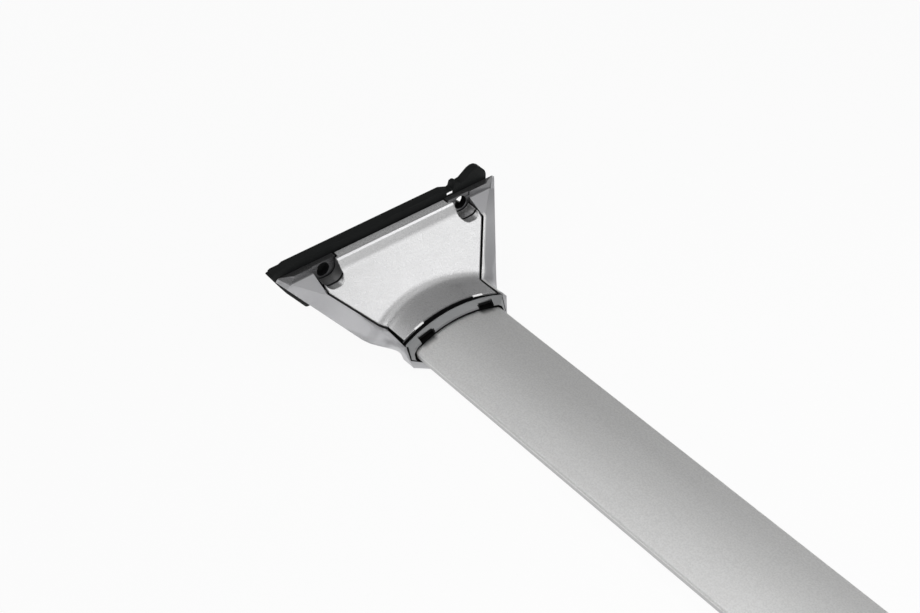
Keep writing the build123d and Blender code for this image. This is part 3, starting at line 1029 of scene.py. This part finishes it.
@dataclass
class Finishes:
    """All the finishes of the object, one material each."""

    effects: Effects = field(default_factory=Effects)
    bar: Material = field(init=False)
    casting: Material = field(init=False)
    cover: Material = field(init=False)
    collar: Material = field(init=False)
    rubber: Material = field(init=False)
    sleeve: Material = field(init=False)
    steel: Material = field(init=False)

    def __post_init__(self) -> None:
        """Build one material for each finish."""
        self.bar = AnodisedFinish(
            "satin_anodised", (0.87, 0.87, 0.865), (0.77, 0.77, 0.765), roughness=0.60
        ).build(self.effects)
        self.casting = SilverFinish(
            "die_cast_silver", (0.60, 0.60, 0.615), (0.53, 0.53, 0.545), (0.80, 0.80, 0.81),
            metallic=0.85, roughness=0.42, rounding=0.4 * MM, layers=(Layer.FLANGE, Layer.SEAM),
            worn_and_lit_edge_share=0.1, soft=5 * MM,
        ).build(self.effects)
        self.cover = SilverFinish(
            "silver_lid_paint", (0.70, 0.70, 0.705), (0.64, 0.64, 0.645), (0.85, 0.85, 0.86),
            metallic=0.9, roughness=0.30, layers=(Layer.SEAM, Layer.LID), shelter=6 * MM,
        ).build(self.effects)
        self.collar = SilverFinish(
            "collar_silver", (0.36, 0.365, 0.37), (0.28, 0.285, 0.29), (0.66, 0.665, 0.67),
            metallic=0.6, roughness=0.45, rounding=0.5 * MM, layers=(Layer.COLLAR,), shelter=9 * MM,
        ).build(self.effects)
        self.rubber = RubberFinish(
            "black_rubber", (0.006, 0.007, 0.007), (0.014, 0.015, 0.015), roughness=0.6
        ).build(self.effects)
        self.sleeve = RubberFinish(
            "sleeve_rubber", (0.004, 0.004, 0.004), (0.006, 0.006, 0.006), roughness=0.8, specular=0.02
        ).build(self.effects)
        self.steel = SilverFinish(
            "zinc_steel", (0.52, 0.53, 0.54), (0.40, 0.41, 0.42), (0.7, 0.7, 0.7),
            metallic=1.0, roughness=0.34, rounding=0.2 * MM,
        ).build(self.effects)


@dataclass
class RubberPad:
    """The rubber pad between a foot and its rail, in millimetres. The left foot's pad has a curled end."""

    end: End
    inner_face: float = 504.0
    thickness: float = 6.0
    top_height: float = 63.0
    low_height: float = 23.5
    low_half: float = 66.0
    bolt_spacing: float = 110.2
    bolt_height: float = 51.5
    bolt_hole: float = 9.0
    hole_sides: int = 40
    rim_radius: float = 0.8
    rim_steps: int = 3
    rim_angle: float = 32.0
    slit_across: float = 48.6
    slit_height: float = 60.6
    slit_width: float = 4.6
    slit_gap: float = 2.2
    slit_margin: float = 1.0
    slit_lean_across: float = 0.85
    slit_lean_up: float = -1.12

    @property
    def sign(self) -> int:
        """The side of the bar that this pad is on."""
        return -1 if self.end is End.LEFT else 1

    @property
    def curled(self) -> bool:
        """Whether the pad's +Y end has curled up."""
        return self.end is End.LEFT

    def plain_end(self) -> Outline:
        """List the outline of a flat end from its low corner up to the top, for +Y.

        Returns:
            Points across and up, in millimetres.
        """
        low, top = self.low_height, self.top_height
        return [
            (self.low_half - 1.4, low), (self.low_half, low + 0.5), (self.low_half + 1.3, low + 2.0),
            (80.0, 42.2), (87.0, 53.6), (90.5, 59.3), (90.4, 60.0), (88.9, 60.3), (88.7, 61.2), (87.2, 61.9),
            (81.0, 61.9), (78.6, top),
        ]

    def curled_end(self) -> Outline:
        """List the outline of the curled end, which has lifted off below and humps up above.

        Returns:
            Points across and up, in millimetres.
        """
        low, top = self.low_height, self.top_height
        lifted = [
            (self.low_half - 1.4, low), (self.low_half, low + 0.5), (70.4, 29.8), (71.3, 32.4), (70.6, 35.2),
            (57.6, 47.8), (51.8, 53.4), (51.6, 54.6), (53.2, 55.4),
        ]
        hump = [
            (79.3, 55.4), (80.2, 56.6), (80.1, 61.0), (78.9, 64.2), (76.6, 66.8), (73.6, 68.6), (70.8, 68.9),
            (67.8, 67.9), (64.4, 65.5), (61.2, 63.3), (58.4, 62.9),
        ]
        nub = [
            (57.4, 63.5), (56.4, 64.5), (54.8, 64.7), (53.4, 64.1), (52.9, 62.6), (52.4, 60.8), (51.0, 60.3),
            (44.0, top),
        ]
        return lifted + hump + nub

    def build(self, rubber: Material) -> Piece:
        """Model the pad and hang it on the object.

        Args:
            rubber: the pad's finish.

        Returns:
            The finished piece.
        """
        side = self.end.value
        right = self.curled_end() if self.curled else self.plain_end()
        left = [(-across, up) for across, up in reversed(self.plain_end())]
        start, depth = self.sign * self.inner_face, self.sign * self.thickness
        pad = draw_slab(f"{side}_rail_pad", right + left, start, depth)
        self.drill(pad, -self.bolt_spacing / 2)
        if self.curled:
            self.lift(pad)
        else:
            self.drill(pad, self.bolt_spacing / 2)
        round_edges(pad, self.rim_radius, self.rim_steps, self.rim_angle)
        finish_piece(pad, rubber, f"{side}_rail_gasket")
        return pad

    def drill(self, pad: Piece, across: float) -> None:
        """Cut one bolt hole.

        Args:
            pad: the piece that is cut.
            across: the hole's place across the bar.
        """
        middle = self.sign * (self.inner_face + self.thickness / 2)
        bpy.ops.object.select_all(action="DESELECT")
        bpy.ops.mesh.primitive_cylinder_add(
            vertices=self.hole_sides, radius=self.bolt_hole / 2 * MM, depth=4 * self.thickness * MM,
            location=(middle * MM, across * MM, self.bolt_height * MM), rotation=(0.0, math.pi / 2, 0.0),
        )
        cut_away(pad, bpy.context.active_object)

    def lift(self, pad: Piece) -> None:
        """Cut the slit where the curled end has come away from the flange.

        Args:
            pad: the piece that is cut.
        """
        depth = self.thickness + 2 * self.slit_margin
        middle = self.sign * (self.inner_face + depth / 2 - self.slit_margin)
        bpy.ops.object.select_all(action="DESELECT")
        bpy.ops.mesh.primitive_cube_add(
            size=1.0, location=(middle * MM, self.slit_across * MM, self.slit_height * MM),
            scale=(depth * MM, self.slit_width * MM, self.slit_gap * MM),
        )
        slit = bpy.context.active_object
        bpy.ops.object.transform_apply(location=True, rotation=True, scale=True)
        bpy.ops.object.mode_set(mode="EDIT")
        bpy.ops.mesh.select_all(action="DESELECT")
        bpy.ops.object.mode_set(mode="OBJECT")
        outermost = max(abs(corner.co.x) for corner in slit.data.vertices)
        for corner in slit.data.vertices:
            corner.select = abs(corner.co.x) > outermost - MM
        bpy.ops.object.mode_set(mode="EDIT")
        bpy.ops.mesh.select_mode(type="VERT")
        lean = (0.0, self.slit_lean_across * depth * MM, self.slit_lean_up * depth * MM)
        bpy.ops.transform.translate(value=lean)
        bpy.ops.object.mode_set(mode="OBJECT")
        cut_away(pad, slit)


@dataclass
class Foot:
    """One end of the crossbar: casting, cover, collar, sleeve, pad and fasteners."""

    end: End
    fasteners: tuple[str, ...] = (
        "nut_plate", "bar_screw_inner", "bar_screw_outer", "cover_screw_front", "cover_screw_rear",
    )

    def dress(self, finishes: Finishes) -> None:
        """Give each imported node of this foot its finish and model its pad.

        Args:
            finishes: the built materials.
        """
        side = self.end.value
        dress(f"{side}_foot_casting", finishes.casting)
        dress(f"{side}_foot_cover", finishes.cover)
        dress(f"{side}_bar_collar", finishes.collar)
        dress(f"{side}_rail_gasket", finishes.rubber)
        dress(f"{side}_bar_sleeve", finishes.sleeve)
        for name in self.fasteners:
            dress(f"{side}_{name}", finishes.steel)
        RubberPad(self.end).build(finishes.rubber)


@dataclass(frozen=True)
class Softbox:
    """A studio lamp with a rectangular face, aimed at a point."""

    name: str
    place: Point
    aim: Point
    size: float
    power: float
    flatness: float = 1.0
    spread: float = 180.0

    def build(self) -> None:
        """Add the lamp to the scene."""
        lamp = bpy.data.lights.new(self.name, "AREA")
        lamp.energy = self.power
        lamp.shape = "RECTANGLE"
        lamp.spread = math.radians(self.spread)
        lamp.size, lamp.size_y = self.size, self.size * self.flatness
        holder = bpy.data.objects.new(self.name, lamp)
        holder.location = self.place
        holder.rotation_euler = (Vector(self.aim) - Vector(self.place)).to_track_quat("-Z", "Y").to_euler()
        bpy.context.scene.collection.objects.link(holder)


FOOT_AIM = (-0.46, 0.0, 0.03)
LAMPS = (
    Softbox("key_softbox", (0.02, 0.41, 0.60), FOOT_AIM, 0.46, 0.55, flatness=0.55),
    Softbox("high_softbox", (-0.23, 0.64, 1.14), FOOT_AIM, 0.6, 0.55),
    Softbox("bar_softbox", (0.19, -0.05, 1.2), (0.16, 0.0, 0.0), 0.95, 0.60, spread=40.0),
    Softbox("left_softbox", (-1.1, -0.55, 1.35), FOOT_AIM, 1.2, 3.6),
    Softbox("front_softbox", (0.0, -0.9, 1.1), FOOT_AIM, 0.9, 2.0),
    Softbox("end_softbox", (0.85, -0.24, 0.76), FOOT_AIM, 0.7, 2.1),
    Softbox("edge_softbox", (0.1, -1.3, 0.45), (0.1, 0.0, 0.0), 0.8, 1.8),
)


@dataclass
class Studio:
    """The white floor, the soft light and the camera."""

    camera_place: Point = (0.20056, -0.54079, 0.74979)
    camera_right: Point = (0.637238, 0.770452, 0.01823)
    camera_down: Point = (0.510038, -0.403881, -0.759435)
    camera_forward: Point = (-0.577745, 0.493239, -0.650328)
    lens: float = 69.584
    sensor_width: float = 36.0
    clip_start: float = 0.01
    floor_size: float = 40.0
    floor_white: Colour = (0.9, 0.9, 0.9)
    floor_roughness: float = 0.9
    floor_glow: float = 0.93
    world_level: float = 0.25

    def build(self) -> None:
        """Build the floor, the world, the lamps and the camera."""
        self.build_floor()
        self.build_world()
        for lamp in LAMPS:
            lamp.build()
        self.build_camera()

    def build_floor(self) -> None:
        """Lay the floor, which stays white to the camera and in reflections and keeps a soft shadow."""
        bpy.ops.object.select_all(action="DESELECT")
        bpy.ops.mesh.primitive_plane_add(size=self.floor_size)
        floor = bpy.context.active_object
        floor.name = "floor"
        material, graph, shader = new_material("white_floor")
        graph.set(shader, Base_Color=self.floor_white, Roughness=self.floor_roughness)
        glow = graph.set(graph.add("ShaderNodeEmission"), Color=WHITE, Strength=1.0)
        path = graph.add("ShaderNodeLightPath")
        rays = ("Is Camera Ray", "Is Glossy Ray", "Is Transmission Ray")
        seen = graph.most(*(path.outputs[ray] for ray in rays))
        mix = graph.add("ShaderNodeMixShader")
        graph.link(graph.times(seen, self.floor_glow), mix.inputs[0])
        graph.link(shader.outputs[0], mix.inputs[1])
        graph.link(glow.outputs[0], mix.inputs[2])
        graph.link(mix.outputs[0], material.node_tree.nodes["Material Output"].inputs[0])
        floor.data.materials.append(material)

    def build_world(self) -> None:
        """Light the scene from all sides with a plain grey sky, white to the camera."""
        world = bpy.data.worlds.new("studio")
        bpy.context.scene.world = world
        world.use_nodes = True
        graph = Graph(world.node_tree)
        camera_ray = graph.add("ShaderNodeLightPath").outputs["Is Camera Ray"]
        strength = graph.span(camera_ray, (0.0, 1.0), (self.world_level, 1.0))
        graph.set(world.node_tree.nodes["Background"], Color=WHITE, Strength=strength)

    def build_camera(self) -> None:
        """Set the camera at the photograph's viewing angle."""
        data = bpy.data.cameras.new("camera")
        data.lens, data.sensor_width, data.clip_start = self.lens, self.sensor_width, self.clip_start
        camera = bpy.data.objects.new("camera", data)
        right, up = Vector(self.camera_right), -Vector(self.camera_down)
        back = -Vector(self.camera_forward)
        turn = Matrix((right, up, back)).transposed().to_4x4()
        camera.matrix_world = Matrix.Translation(self.camera_place) @ turn
        bpy.context.scene.collection.objects.link(camera)
        bpy.context.scene.camera = camera


def main() -> None:
    """Build the whole scene."""
    logging.basicConfig(level=logging.INFO)
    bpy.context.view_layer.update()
    bpy.context.scene.view_settings.view_transform = "Standard"
    finishes = Finishes()
    dress("crossbar", finishes.bar)
    for end in End:
        Foot(end).dress(finishes)
    Studio().build()


if __name__ == "__main__":
    main()
